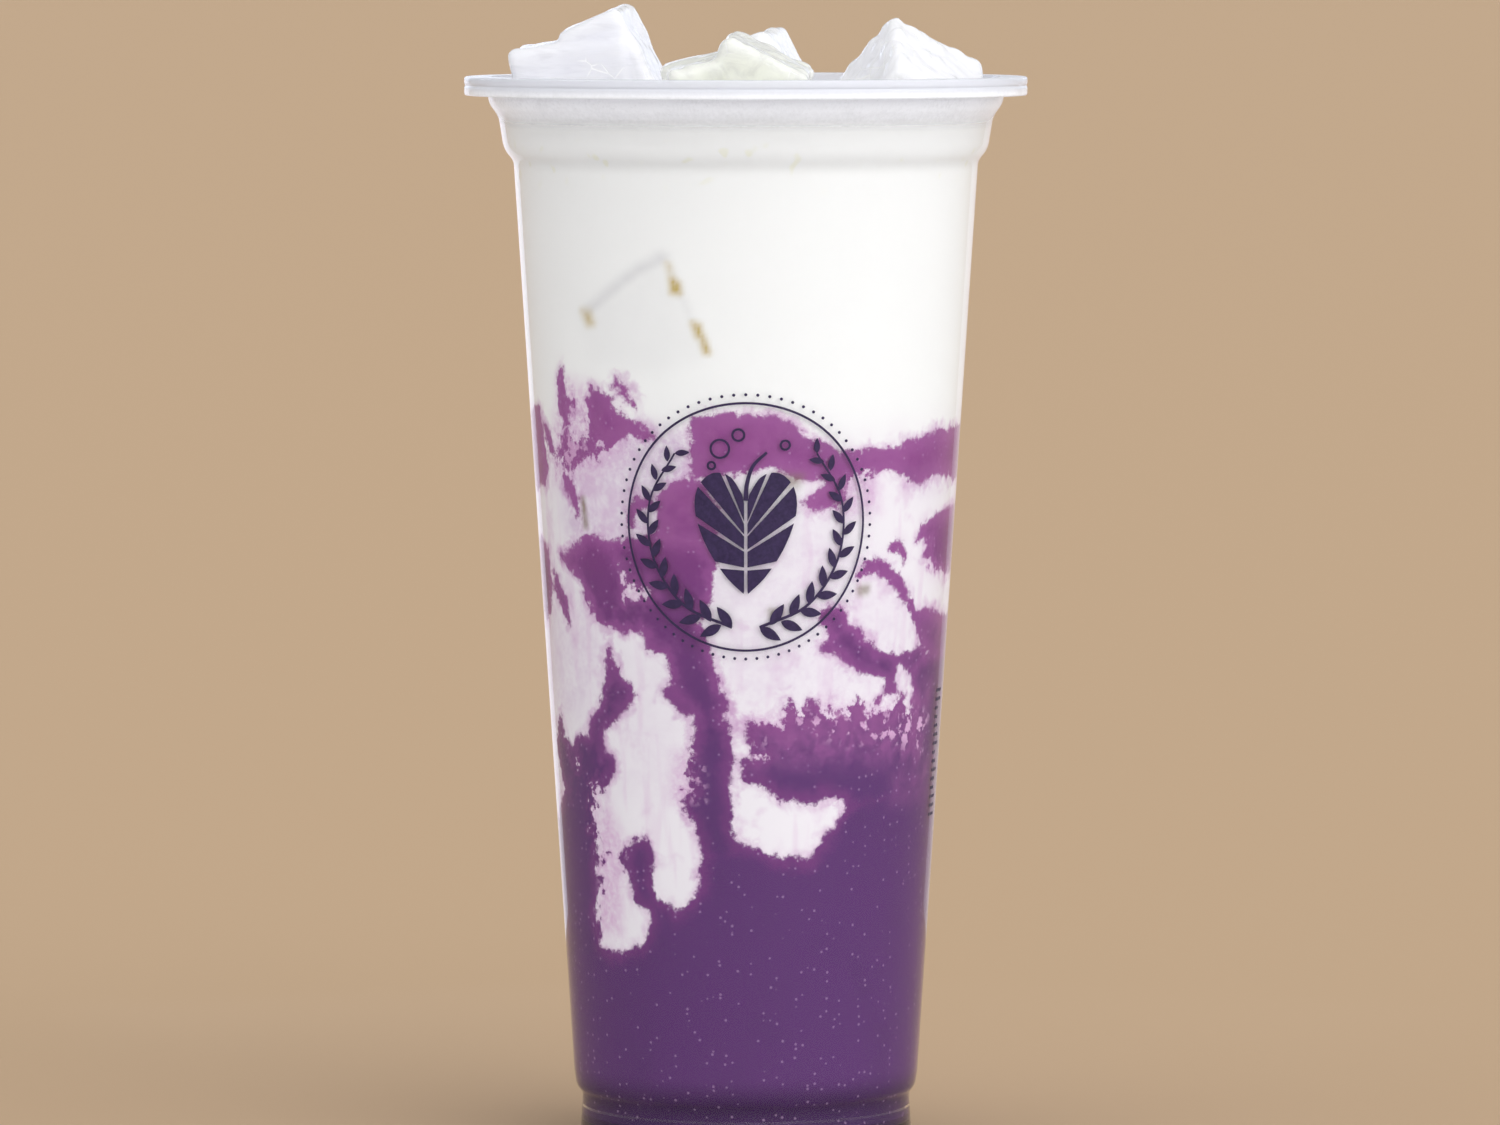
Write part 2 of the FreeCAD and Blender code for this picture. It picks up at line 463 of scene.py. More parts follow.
# %% Marbling outlines
PATCHES = [
    ("taro", [(-95, 48), (-80, 56), (-76, 58), (-72, 60), (-74, 62), (-77, 65), (-77, 68.5), (-71.5, 73),
      (-70, 69), (-63, 68), (-58, 70.3), (-54, 69.5), (-51.5, 73), (-48, 75), (-47, 77), (-44, 80.5),
      (-45, 82), (-43, 85), (-39, 80), (-34, 79), (-34.5, 77), (-37, 75.2), (-40, 75), (-41, 73), (-47, 72),
      (-48.5, 70), (-48, 68), (-43.5, 66.5), (-43.5, 64), (-48, 61), (-50, 60), (-50.5, 57), (-50, 57),
      (-30, 58), (-16, 57), (-4, 53), (-1, 52.5), (3, 52), (8, 51), (20, 50), (31, 58), (36, 60), (50, 62),
      (60, 63), (72, 66), (95, 70), (95, -6), (-95, -6)]),
    ("taro", [(-64, 100), (-57, 101.5), (-50, 104), (-44, 103.2), (-38, 103), (-30, 104), (-22, 105),
      (-12, 104), (-8, 100), (-9.5, 96), (-10.5, 93), (-13.5, 90), (-11.5, 89), (-10.5, 86), (-9, 82),
      (-8, 79), (-6, 78), (-6, 76), (-7, 74.5), (-5, 72), (-4, 68), (-5.5, 65), (-5.5, 62), (-4.5, 59),
      (-4.5, 56), (-3.5, 54), (-1, 50), (-12, 46), (-13, 51), (-14, 53), (-17, 56.5), (-19, 58.5),
      (-17, 60.5), (-15.5, 62), (-16.5, 65), (-15, 70), (-14.5, 72), (-15.5, 75), (-19, 77.5), (-21.5, 79.5),
      (-22.5, 82.5), (-23, 85), (-29, 85.2), (-30, 87.5), (-33, 89), (-36, 88), (-40, 88.7), (-45, 89.5),
      (-49, 91.5), (-52, 94), (-55, 96.5), (-62, 99)]),
    ("milk", [(-36.5, 93.5), (-34, 92), (-30, 93.3), (-27, 95), (-28.5, 96), (-33, 96.5), (-38, 99.5)]),
    ("taro", [(-25, 103), (-9, 103), (-8, 109), (-11, 113), (-15, 114), (-21, 112.5), (-25, 110)]),
    ("taro", [(-26, 110.6), (-31, 110.6), (-34.5, 107.5), (-33.6, 105), (-32.2, 107), (-30.5, 109),
      (-26, 109)]),
    ("taro", [(-44, 128), (-39, 127.5), (-38, 125), (-34, 124), (-29, 122.5), (-25.5, 120.7), (-28, 120.2),
      (-33, 121.3), (-42, 119.5), (-45, 117), (-50, 115.5), (-53, 117), (-48, 122.5), (-46.5, 125)]),
    ("taro", [(-38.5, 129), (-35.5, 130.4), (-32.6, 127.5), (-30.5, 126), (-33.5, 126.6), (-35.8, 129)]),
    ("taro", [(-58.8, 121), (-58.3, 131.5), (-57, 131.5), (-56, 125), (-52.5, 120), (-50, 116), (-58, 113),
      (-64, 116), (-63, 120.5)]),
    ("taro", [(-71, 122), (-68, 121.5), (-61, 117.5), (-56, 113.5), (-53, 110), (-52, 106.5), (-54.5, 107),
      (-57, 111), (-62, 114.5), (-68, 118)]),
    ("taro", [(-95, 112), (-80, 110.5), (-72, 112), (-69, 115), (-71, 120), (-73, 125), (-82, 124),
      (-95, 120)]),
    ("taro", [(-14, 114), (-15, 124), (-8, 124.6), (8, 124.2), (17, 120.5), (21, 120), (24, 118.5), (30, 118),
      (40, 118.5), (46, 118.5), (50, 120), (58, 120), (64, 121), (67, 121), (70, 120), (73, 121), (82, 121.5),
      (95, 119), (95, 113), (80, 112.5), (70, 113.5), (63, 114), (56, 112.5), (50, 113.3), (45, 115),
      (40, 115.3), (36, 114.5), (33, 113), (28.5, 113.5), (27.5, 110.5), (24, 109), (20, 108.5), (15.5, 110),
      (20, 111.5), (23, 113), (20, 114), (14, 114.5), (9, 116), (4, 115)]),
    ("taro", [(55, 102.5), (58, 105), (66, 107), (74, 107.5), (95, 108.5), (95, 96), (82, 97), (72, 97.5),
      (66, 98.5), (60, 100), (64, 102.5), (58, 103)]),
    ("taro", [(43, 101.4), (46, 103.7), (49, 102.7), (52, 100.3), (49, 98), (49.2, 100), (47.3, 101.2)]),
    ("taro", [(33, 97.5), (36, 100.2), (41, 99.8), (47, 98), (51, 95.5), (54, 93), (57, 90.8), (60, 91),
      (66, 90.7), (74, 89.5), (95, 88), (95, 80), (66, 83.5), (60, 86), (58.5, 88), (55.5, 90.5), (52, 92.3),
      (46, 96), (40, 98)]),
    ("taro", [(22, 92), (24, 92.4), (28.5, 91.7), (30.4, 89.5), (34, 88.2), (38, 86), (40, 84.6), (47, 84.2),
      (50, 83.7), (60, 84.5), (66, 84), (60, 81.8), (57, 79.8), (50, 82.8), (47.5, 79), (44, 79.8),
      (41, 80.2), (36, 81.2), (31, 82.8), (28, 84.6), (22, 85.2), (24.5, 87.5), (23.3, 89.2), (20.8, 89.8)]),
    ("taro", [(57, 80), (60, 82), (66, 83.5), (80, 84), (95, 82), (95, 60), (58, 60), (56, 72), (54, 77),
      (58, 76.5)]),
    ("taro", [(44, 78.7), (49, 79), (49.5, 77.3), (45, 77)]),
    ("taro", [(0.5, 70.5), (1.5, 73), (3, 71.7), (7, 73.2), (10, 72.7), (11, 76), (13, 77.2), (15, 76),
      (18, 77.2), (22, 77), (25, 75.5), (30, 75.2), (34.5, 77.6), (37, 76), (39, 75.2), (41, 76.7),
      (46, 75.5), (49, 77), (54, 77), (58, 76.5), (64, 70), (64, 58), (32, 58), (31, 60), (24, 61.2),
      (21, 60), (16, 59.7), (10, 60.6), (6, 62), (3.5, 63.2), (-0.5, 64), (-0.5, 67), (3, 66.5),
      (4.3, 67.8)]),
    ("milk", [(-4.5, 60), (-2.5, 62.3), (0, 63.3), (4, 63), (6, 61.5), (10, 60.4), (16, 59.5), (21, 59.8),
      (24, 61.2), (31, 60), (31.3, 58.3), (27, 55.5), (22, 53.4), (17, 51.5), (12, 50.2), (9.5, 50.5),
      (8.4, 52), (8, 55.5), (5.8, 56.3), (4, 55.5), (2.8, 53), (1, 52.3), (-1.5, 53), (-3.5, 55)]),
    ("milk", [(-15, 56), (-13, 51), (-14, 49), (-13.5, 47), (-15, 45), (-17, 43), (-20, 41.5), (-23, 41.2),
      (-26, 42.5), (-29, 44), (-31, 46.5), (-29.5, 51), (-32, 53.5), (-36, 53), (-40, 50.5), (-39, 46),
      (-36, 43), (-33, 41.5), (-31, 40.5), (-33, 36.2), (-36, 35), (-40, 34.5), (-45, 33.8), (-50, 33.5),
      (-55, 34.5), (-55, 37), (-57, 40), (-53, 45), (-55, 47), (-52, 50.5), (-50, 54), (-50.5, 58), (-44, 64),
      (-43, 67), (-30, 72), (-17, 66), (-17, 60.5), (-19, 58.5)]),
    ("taro", [(-70, 97.5), (-66, 95.5), (-62, 92.5), (-60, 88.5), (-62, 88.5), (-65, 91), (-69, 94)]),
    ("taro", [(-95, 103), (-80, 102.5), (-74, 100), (-72, 95), (-75, 90), (-82, 88.5), (-95, 89)]),
    ("taro", [(-24.3, 77.4), (-19, 75), (-15.5, 74.6), (-15.5, 76.6), (-19, 77), (-23.5, 79)]),
]
WASHES = {
    "lilac": [
        (3.5, 0.5, [(-95, 68), (-80, 72), (-58, 72), (-50, 78), (-45, 86), (-50, 92), (-66, 99), (-95, 106)]),
        (3.0, 0.85, [(-60, 104), (-45, 103), (-30, 103), (-10, 112), (-16, 121), (-30, 123), (-45, 120),
          (-62, 112)]),
        (2.5, 0.75, [(28, 108), (37, 108.5), (37, 114), (28, 115)]),
        (2.5, 0.6, [(50, 112), (56, 110.5), (67, 111), (69, 116), (58, 116)]),
        (2.0, 0.4, [(-12, 92), (0, 91), (2, 99), (-8, 101)]),
        (3.5, 0.36, [(0, 77), (50, 77), (56, 94), (20, 108), (-6, 108), (-8, 84)]),
        (1.6, 0.6, [(57, 99.5), (64, 100), (64, 103.5), (57, 103)]),
        (3.0, 0.45, [(-84, 55), (-72, 56), (-71, 67), (-84, 69)]),
        (2.5, 0.2, [(-44, 60), (-18, 60), (-22, 84), (-40, 86)]),
    ],
    "blush": [
        (3.0, 1.0, [(-95, 105), (95, 105), (95, 135), (-95, 135)]),
        (2.5, 0.9, [(-27, 102), (-7, 102), (-7, 116), (-27, 116)]),
        (2.5, 0.8, [(60, 85), (95, 83), (95, 92), (60, 92)]),
        (3.0, 0.6, [(50, 59), (72, 58), (75, 66), (50, 66)]),
        (3.0, 1.0, [(3, 66), (30, 66), (66, 65), (70, 78), (30, 78), (3, 75)]),
        (2.5, 0.5, [(-24, 60), (-14, 60), (-14, 68), (-24, 68)]),
    ],
    "curdled": [
        (2.2, 0.6, [(5, 66.5), (40, 66.5), (66, 67), (66, 76), (40, 76), (11, 76)]),
        (2.5, 0.9, [(-67, 52), (-50, 52), (-48, 66), (-67, 66)]),
        (2.2, 0.7, [(-64, 113), (-45, 113), (-45, 124), (-64, 124)]),
        (2.5, 0.55, [(27, 107), (37, 107), (37, 116), (27, 116)]),
    ],
    "puffed": [
        (2.0, 1.0, [(6, 70), (16, 72.5), (30, 69.8), (50, 69), (66, 66), (69, 73), (54, 75), (40, 73.4),
          (16, 74.6), (8, 73)]),
        (1.6, 0.8, [(-62, 114), (-50, 113), (-47, 119), (-60, 122)]),
        (1.6, 0.7, [(-55, 37), (-46, 37), (-44, 48), (-52, 48)]),
        (1.4, 0.7, [(-16.5, 60), (-12.5, 60), (-12.5, 68), (-16.5, 68)]),
        (1.6, 0.7, [(28, 107.5), (38, 108), (37, 114), (28, 113.5)]),
    ],
    "flecked": [
        (2.4, 1.0, [(-55, 36), (-43, 37), (-41, 53), (-47, 60), (-52, 54)]),
        (2.0, 0.8, [(-24, 60), (-14, 59), (-14, 69), (-22, 68)]),
        (2.2, 0.8, [(2, 66), (30, 69), (30, 73), (3, 74)]),
        (2.6, 0.85, [(-66, 112), (-44, 114), (-34, 118), (-44, 129), (-60, 130)]),
        (2.4, 0.7, [(26, 107), (40, 108), (38, 117), (26, 115)]),
        (2.4, 0.6, [(58, 98), (70, 96), (84, 97), (84, 102), (62, 104)]),
        (2.4, 0.6, [(-50, 90), (-34, 88), (-24, 92), (-30, 98), (-50, 99)]),
    ],
    "ghost": [
        (2.4, 0.2, [(-49, 141.5), (-36, 146.5), (-22, 151.3), (-18.5, 146), (-13.5, 139.5), (-10.5, 134.5),
          (-24, 131), (-44, 133)]),
        (1.5, 0.8, [(-47, 141.6), (-36, 146.2), (-28, 149.6), (-22, 151.4), (-20, 150.8), (-21.5, 149.6),
          (-29, 147.2), (-36.5, 143.8), (-46, 140)]),
        (1.4, 0.45, [(-20, 150), (-18, 147.5), (-14.4, 142), (-10.5, 135.5), (-12, 135.5), (-16, 141.5),
          (-20, 147)]),
    ],
    "stain": [
        (1.5, 0.6, [(-47.2, 141.3), (-44.6, 141.3), (-43.4, 139.4), (-45.4, 139.2)]),
        (1.2, 0.45, [(-20.4, 149.6), (-19.6, 149.4), (-18.6, 147.2), (-19.4, 147)]),
        (1.3, 1.0, [(-19.2, 147.2), (-17.4, 146.2), (-17.2, 144.8), (-19, 144.9)]),
        (1.2, 1.0, [(-13.7, 139.8), (-12.2, 139.4), (-11, 137.2), (-12.6, 137.6)]),
        (1.1, 0.9, [(-11.6, 137.2), (-10.5, 136.8), (-9.6, 134.8), (-10.6, 134.9)]),
        (1.2, 0.9, [(33.4, 95.5), (36.6, 95.5), (36.4, 94.7), (33.8, 94.5)]),
        (1.2, 0.9, [(6.8, 92), (10.2, 91.7), (9.6, 91.1), (7.4, 91.2)]),
        (1.6, 0.6, [(8.6, 114.4), (15, 114.2), (14, 112.8), (9, 113)]),
        (1.0, 0.9, [(-51.4, 110), (-50.4, 110), (-49.6, 105.2), (-50.6, 105.2)]),
    ],
}
print("%d patches and %d washes" % (len(PATCHES), sum(len(shapes) for shapes in WASHES.values())))

# %% [markdown]
# ## From outlines to a field
# For each point of the wall the nearest edge of an outline is found, and whether the point lies inside.
# Taro takes the larger of the fields, and milk cuts with its own turned round. The back of the cup was
# stirred by the same spoon: its points are looked up in the same drawing, folded round the side along a
# wavy line and then pushed about by slow waves, so that no two sides match.

# %% Field of distances
DEGREE = 0.585  # millimetres of wall to a degree, at the height of the marbling
EDGE_SHIFT = 0.35  # how far every edge of the taro is moved out, in millimetres
FAR_OUTSIDE = -30.0
FRONT_ONLY = ("ghost", "stain")


def distance_in(outline, degrees, heights):
    """Signed distance in millimetres to a closed outline, plus inside."""
    corners = np.array(outline, float) * (DEGREE, 1.0)
    x, y = degrees * DEGREE, heights
    nearest = np.full(x.shape, 1e9)
    inside = np.zeros(x.shape, bool)
    for (ax, ay), (bx, by) in zip(corners, np.roll(corners, -1, axis=0)):
        dx, dy = bx - ax, by - ay
        along = np.clip(((x - ax) * dx + (y - ay) * dy) / (dx * dx + dy * dy), 0, 1)
        nearest = np.minimum(nearest, (x - ax - along * dx) ** 2 + (y - ay - along * dy) ** 2)
        if ay != by:
            inside ^= ((ay > y) != (by > y)) & (x < (by - ay and (y - ay) * dx / dy) + ax)
    return np.where(inside, 1, -1) * np.sqrt(nearest)


def smooth(value):
    value = np.clip(value, 0, 1)
    return value * value * (3 - 2 * value)


def stirred(degrees, heights):
    """Where in the drawing a point of the wall is looked up."""
    fold = 86 + 7 * np.sin(heights / 8 + np.sign(degrees))
    beyond = np.abs(degrees) - fold
    back = smooth(beyond / 40)
    mirrored = np.sign(degrees) * (180 - np.abs(degrees) + 2 * (fold - 90) * (1 - back))
    folded = np.where(beyond > 0, mirrored, degrees)
    swirl = back * (13 * np.sin(heights / 11 + 0.6) + 6 * np.sin(heights / 4.3))
    lift = back * (7 * np.sin(np.radians(degrees) * 5) + 2.5 * np.sin(np.radians(degrees) * 11 + 1))
    return folded + swirl, heights + lift


def marble(mesh):
    """Writes the drawing on the mesh's points, one named attribute for the taro and one for each wash."""
    count = len(mesh.vertices)
    points = np.zeros(count * 3, np.float32)
    mesh.vertices.foreach_get("co", points)
    x, y, z = points.reshape(-1, 3).T / MM
    degrees, heights = stirred(np.degrees(np.arctan2(x, -y)), z.astype(float))
    taro = np.full(count, FAR_OUTSIDE)
    for kind, shape in PATCHES:
        field = distance_in(shape, degrees, heights)
        taro = np.maximum(taro, field) if kind == "taro" else np.minimum(taro, -field)
    fields = {"taro": taro}
    for kind, shapes in WASHES.items():
        fields[kind] = np.zeros(count)
        for soft, amount, shape in shapes:
            spread = amount * smooth(0.5 + 0.5 * distance_in(shape, degrees, heights) / soft)
            fields[kind] = np.maximum(fields[kind], spread)
    for kind in FRONT_ONLY:
        fields[kind][y > 0] = 0.0
    for name, values in fields.items():
        mesh.attributes.new(name, "FLOAT", "POINT").data.foreach_set("value", values.astype(np.float32))
    print("taro covers %.0f%% of the wall's points" % (100 * (taro > 0).mean()))


# %% [markdown]
# ## The drink's finish
# Milk is a warm white. Taro runs from deep purple, where it is thick, to magenta at its thin edges, and it
# is slightly grainy, with pale specks of root. Noise at two scales is added to the field before it is cut,
# so the edge is ragged like curds; a wider and softer cut of the same field gives the pink fringe.

# %% Ragged edge
drink_finish, shader, place = new_material("milk and taro")
height = put("ShaderNodeSeparateXYZ", {0: place})[2]
drawn = {name: put("ShaderNodeAttribute", tree=place.tree, attribute_name=name)["Fac"]
         for name in ("taro", *WASHES)}
coarse = grain(place, 300.0, 4.0, 0.6, 0.4)
fine = grain(place, 950.0, 5.0, 0.75)
ragged = coarse * (3.2 + drawn["curdled"] * 8.0) + fine * (2.7 + drawn["curdled"] * 4.0)
flakes = grain(place, 560.0, 3.0) * 10.0
holes = drawn["curdled"] * (2.4 + flakes)
flecks = drawn["flecked"] * (0.9 + flakes)
edge = drawn["taro"] + EDGE_SHIFT + ragged - holes + flecks
thick = ramp(edge, -0.3, 0.5)
depth = ramp(edge, 0.2, 3.4)
patchy = ramp(grain(place, 110.0, 3.0), -0.16, 0.2, 0.12, 0.75)
fringe = ramp(edge + coarse * 3.0, -1.9, 0.25) * patchy

# %% Milk colours
ghost_grey = drawn["ghost"] * ramp(coarse, -0.5, 0.3, 0.5, 1.0)
lilac = capped(drawn["lilac"] * ramp(coarse + fine, -0.3, 0.3, 0.35, 1.5))
low_blush = ramp(height, 0.128, 0.112) * 0.55
blotch = ramp(grain(place, 150.0, 4.0, 0.6), 0.02, 0.2) * (ramp(height, 0.126, 0.112) * 0.3)
stretched = put("ShaderNodeVectorMath", {0: place, 1: (1.0, 1.0, 0.14)}, operation="MULTIPLY")
drips = ramp(grain(stretched, 330.0, 2.0), 0.03, 0.2) * ramp(height, 0.122, 0.104)
near_top = ramp(height, 0.160, 0.166) * ramp(height, 0.171, 0.1675)
butter = ramp(grain(place, 340.0, 1.0), 0.14, 0.24) * near_top
mixed = calc("MAXIMUM", drawn["curdled"], drawn["flecked"]) * ramp(fine, -0.25, 0.2, 0.25, 0.85)
milk = layered(colour(253, 253, 250), [
    (ghost_grey, (219, 218, 219)), (lilac, (214, 184, 214)), (low_blush, (240, 231, 240)),
    (blotch, (214, 164, 208)), (drips * 0.22, (222, 176, 216)), (butter * 0.33, (236, 234, 190)),
    (mixed, (222, 178, 216)), (fringe, (203, 148, 198))])

# %% Taro colours
thin = tint(ramp(height, 0.055, 0.105), colour(116, 52, 122), colour(154, 80, 150))
full = tint(ramp(height, 0.065, 0.12), colour(90, 43, 110), colour(137, 57, 133))
full = tint(ramp(height, 0.0135, 0.008), full, colour(54, 10, 76))
blush = drawn["blush"] * ramp(coarse, -0.25, 0.25, 0.1, 0.75)
clouds = ramp(grain(place, 75.0, 3.0), 0.0, 0.3, 0.0, 0.3)
cells = put("ShaderNodeTexVoronoi", {"Vector": place, "Scale": 950.0})
chance = put("ShaderNodeSeparateColor", {0: cells["Color"]})
specks = ramp(cells["Distance"], 0.3, 0.14) * calc("GREATER_THAN", chance, 0.72)
puffs = drawn["puffed"] * ramp(grain(place, 460.0, 3.0, 0.6), 0.015, 0.10, 0.0, 0.95)
taro = layered(tint(depth, thin, full), [
    (blush, (164, 92, 156)), (clouds, (76, 36, 94)), (specks * 0.33, (196, 156, 200)),
    (puffs, (224, 178, 216))])

# %% Drink material
stained = capped(drawn["stain"] * ramp(coarse, -0.25, 0.25, 1.0, 1.6))
tea = tint(ramp(height, 0.118, 0.130), colour(124, 110, 74), colour(190, 160, 44))
fill(shader, {"Base Color": tint(stained, tint(thick, milk, taro), tea),
              "Roughness": ramp(fine, -0.3, 0.3, 0.4, 0.62), "Specular IOR Level": 0.15,
              "Normal": bumped(fine, 0.12, 0.0002)})
print("drink material: %d nodes" % len(place.tree.nodes))

# %% Make the drink
DRINK_STEPS = 384
drink_mesh = turned("drink", outline_points, DRINK_STEPS, drink_finish)
marble(drink_mesh)
drink = link_object("drink", drink_mesh)
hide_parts("taro_base", "taro_swirl", "milk_top")
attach(drink, "root")

# %% [markdown]
# ## Ice
# The four pieces of ice that stand out of the milk have melted a little: their edges are round, their faces
# are dented, and they are cloudy inside with clearer streaks. A copy of each solid is merged and remeshed
# into small even faces, and a Geometry Nodes tree then presses dents into it. It only ever moves the
# surface inwards, so the ice never comes through the cup.

# %% Dents in melting ice
melt, given = new_tree("melted ice", {"Dent Depth": 0.001, "Dent Size": 0.01, "Chip Depth": 0.0005,
                                      "Chip Size": 0.005, "Seed": 0.0, "Finish": None})
where = put("GeometryNodeInputPosition", tree=melt)
facing = put("GeometryNodeInputNormal", tree=melt)


def pressing(size):
    """Where a texture with marks of this size is looked up."""
    return {"Vector": where, "W": given["Seed"], "Scale": put("ShaderNodeMath", {0: 1.0, 1: size},
                                                              operation="DIVIDE")}


dents = put("ShaderNodeTexNoise", {**pressing(given["Dent Size"]), "Detail": 2.0}, noise_dimensions="4D")
chips = put("ShaderNodeTexVoronoi", {**pressing(given["Chip Size"]), "Smoothness": 0.25},
            voronoi_dimensions="4D", feature="SMOOTH_F1")["Distance"]
depth = ramp(dents, 0.3, 0.7) * given["Dent Depth"] + ramp(chips, 0.1, 0.75) * given["Chip Depth"]
inward = put("ShaderNodeVectorMath", {0: facing, "Scale": depth * -1.0}, operation="SCALE")
dented = put("GeometryNodeSetPosition", {"Geometry": given["Geometry"], "Offset": inward})
end_tree(put("GeometryNodeSetShadeSmooth", {"Geometry": dented}), given["Finish"])


# %% Even faces
def merged(name, meshes, distance=None):
    """One mesh from several; points closer than distance become one."""
    builder = bmesh.new()
    for mesh in meshes:
        builder.from_mesh(mesh)
    if distance:
        bmesh.ops.remove_doubles(builder, verts=builder.verts, dist=distance)
    made = bpy.data.meshes.new(name)
    builder.to_mesh(made)
    builder.free()
    return made


def remeshed(name, source, size):
    """Small even faces over a merged copy of a mesh."""
    carrier = link_object(name + "_merged", merged(name + "_merged", [source], 1e-6))
    voxels = carrier.modifiers.new("even faces", "REMESH")
    voxels.mode = "VOXEL"
    voxels.voxel_size = size
    relax = carrier.modifiers.new("relax", "SMOOTH")
    relax.iterations = 2
    return plain_mesh(carrier, name + "_even")


# %% [markdown]
# ## Cloudy ice
# Freezer ice is white where air froze into it and clear along streaks. Light scatters under its surface,
# which softens it, and transmission follows stretched noise, so that the clear streaks run through the
# block. A thin wet coat gives the sharp glints of meltwater.

# %% Ice finish
def cloudy_ice(name, cloud, clear, stretch, lean, clearness):
    """Ice with streaks along one direction: cloud and clear are its colours."""
    material, shader, place = new_material(name)
    along = put("ShaderNodeMapping", {"Vector": place, "Rotation": lean, "Scale": stretch})
    layers = grain(along, 330.0, 4.0, 0.6, 0.6)
    cracks = put("ShaderNodeTexVoronoi", {"Vector": place, "Scale": 260.0},
                 feature="DISTANCE_TO_EDGE")["Distance"]
    cracked = ramp(cracks, 0.0, 0.045, 1.0, 0.0) * ramp(grain(place, 120.0), 0.02, 0.12)
    body = tint(ramp(layers, -0.25, 0.25), colour(*cloud), colour(*clear))
    fill(shader, {"Base Color": tint(cracked * 0.5, body, (1.0, 1.0, 1.0, 1.0)),
                  "Transmission Weight": ramp(layers, -0.12, 0.25, 0.03, clearness),
                  "Roughness": ramp(grain(place, 500.0, 3.0), -0.2, 0.2, 0.05, 0.22),
                  "Subsurface Weight": 0.85, "Subsurface Radius": (1.0, 1.0, 1.0), "Subsurface Scale": 0.006,
                  "IOR": 1.15, "Coat Weight": 0.85, "Coat Roughness": 0.04, "Coat IOR": 1.33,
                  "Normal": bumped(layers * 0.6 + cracked * -0.35, 0.35, 0.0005)})
    return material


# The finish and its clearness, then how deep the dents and the chips are, the chips' size in mm and the seed.
ICE = {
    "ice_left": (cloudy_ice("layered ice", (228, 228, 233), (237, 237, 244), (0.35, 0.5, 2.2),
                            (0.1, -0.25, 0.0), 0.2), 0.7, 0.5, 5.0, 1.0),
    "ice_front": (cloudy_ice("yellowish wet ice", (233, 235, 224), (241, 242, 234), (0.8, 0.8, 1.0),
                             (0.0, 0.3, 0.0), 0.25), 0.55, 0.8, 3.6, 2.0),
    "ice_back": (cloudy_ice("bluish ice", (240, 241, 244), (247, 247, 251), (1.4, 1.4, 0.8),
                            (0.0, 0.0, 0.0), 0.18), 0.7, 0.7, 4.5, 3.0),
    "ice_right": (cloudy_ice("crackled ice", (236, 236, 242), (244, 244, 250), (0.6, 2.0, 0.5),
                             (0.4, 0.0, 0.6), 0.18), 0.6, 0.9, 3.2, 4.0),
}
DENT_DEPTH, DENT_SIZE, CHIP_DEPTH, ICE_FACE = 0.9, 12.0, 0.5, 0.42

# %% Make the ice
for name, (finish, wear, chipping, chip_size, seed) in ICE.items():
    mesh = run_tree(name, remeshed(name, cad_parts[name].data, ICE_FACE * MM), melt, {
        "Dent Depth": DENT_DEPTH * MM * wear, "Dent Size": DENT_SIZE * MM, "Seed": seed,
        "Chip Depth": CHIP_DEPTH * MM * chipping, "Chip Size": chip_size * MM, "Finish": finish})
    ice = link_object("melting_" + name, mesh)
    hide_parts(name)
    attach(ice, "root")
    print("%s: %d faces" % (name, len(mesh.polygons)))

# %% [markdown]
# ## Froth and droplets
# Shaking leaves a rim of fine bubbles where the milk meets the wall and round the ice, and a spray of tiny
# milk droplets on the neck above it. Both are scattered by one Geometry Nodes tree over a narrow turned
# band. The small ones have only twenty faces each, because there are very many of them.

# %% Scattering tree
scatter, given = new_tree("droplets", {"Density": 1.0e6, "Smallest": 0.0001, "Largest": 0.0003,
                                       "Flatness": 0.6, "Roundness": 1, "Seed": 1, "Finish": None})
spots = put("GeometryNodeDistributePointsOnFaces", {
    "Mesh": given["Geometry"], "Density": given["Density"], "Seed": given["Seed"]})
ball = put("GeometryNodeMeshIcoSphere", {"Radius": 1.0, "Subdivisions": given["Roundness"]})
chance = put("FunctionNodeRandomValue", {"Seed": given["Seed"]}, data_type="FLOAT")[1]
size = put("ShaderNodeMapRange", {"Value": calc("POWER", chance, 2.5), "To Min": given["Smallest"],
                                  "To Max": given["Largest"]})
shape = put("ShaderNodeCombineXYZ", {0: size, 1: size, 2: size * given["Flatness"]})
placed = put("GeometryNodeInstanceOnPoints", {
    "Points": spots, "Instance": ball, "Rotation": spots["Rotation"], "Scale": shape})
real = put("GeometryNodeRealizeInstances", {"Geometry": placed})
end_tree(put("GeometryNodeSetShadeSmooth", {"Geometry": real}), given["Finish"])

# %% Froth
BAND_STEPS = 180
froth_finish, shader, place = new_material("milk froth")
fill(shader, {"Base Color": tint(ramp(grain(place, 900.0), -0.2, 0.2), colour(246, 246, 243),
                                 colour(253, 253, 252)), "Roughness": 0.3})


def grid_faces(rows, columns, ring=False):
    """Four-sided faces over rows of points; in a ring the last column joins the first."""
    return [(j * columns + i, j * columns + (i + 1) % columns, (j + 1) * columns + (i + 1) % columns,
             (j + 1) * columns + i) for j in range(rows - 1) for i in range(columns if ring else columns - 1)]


def band(name, points):
    """A narrow turned band of wall or surface to scatter on, from (radius, height) points."""
    places = [(x * MM, y * MM, z * MM) for r, z in points for x, y in around(r, BAND_STEPS)]
    return mesh_of(name, places, faces=grid_faces(len(points), BAND_STEPS, True))


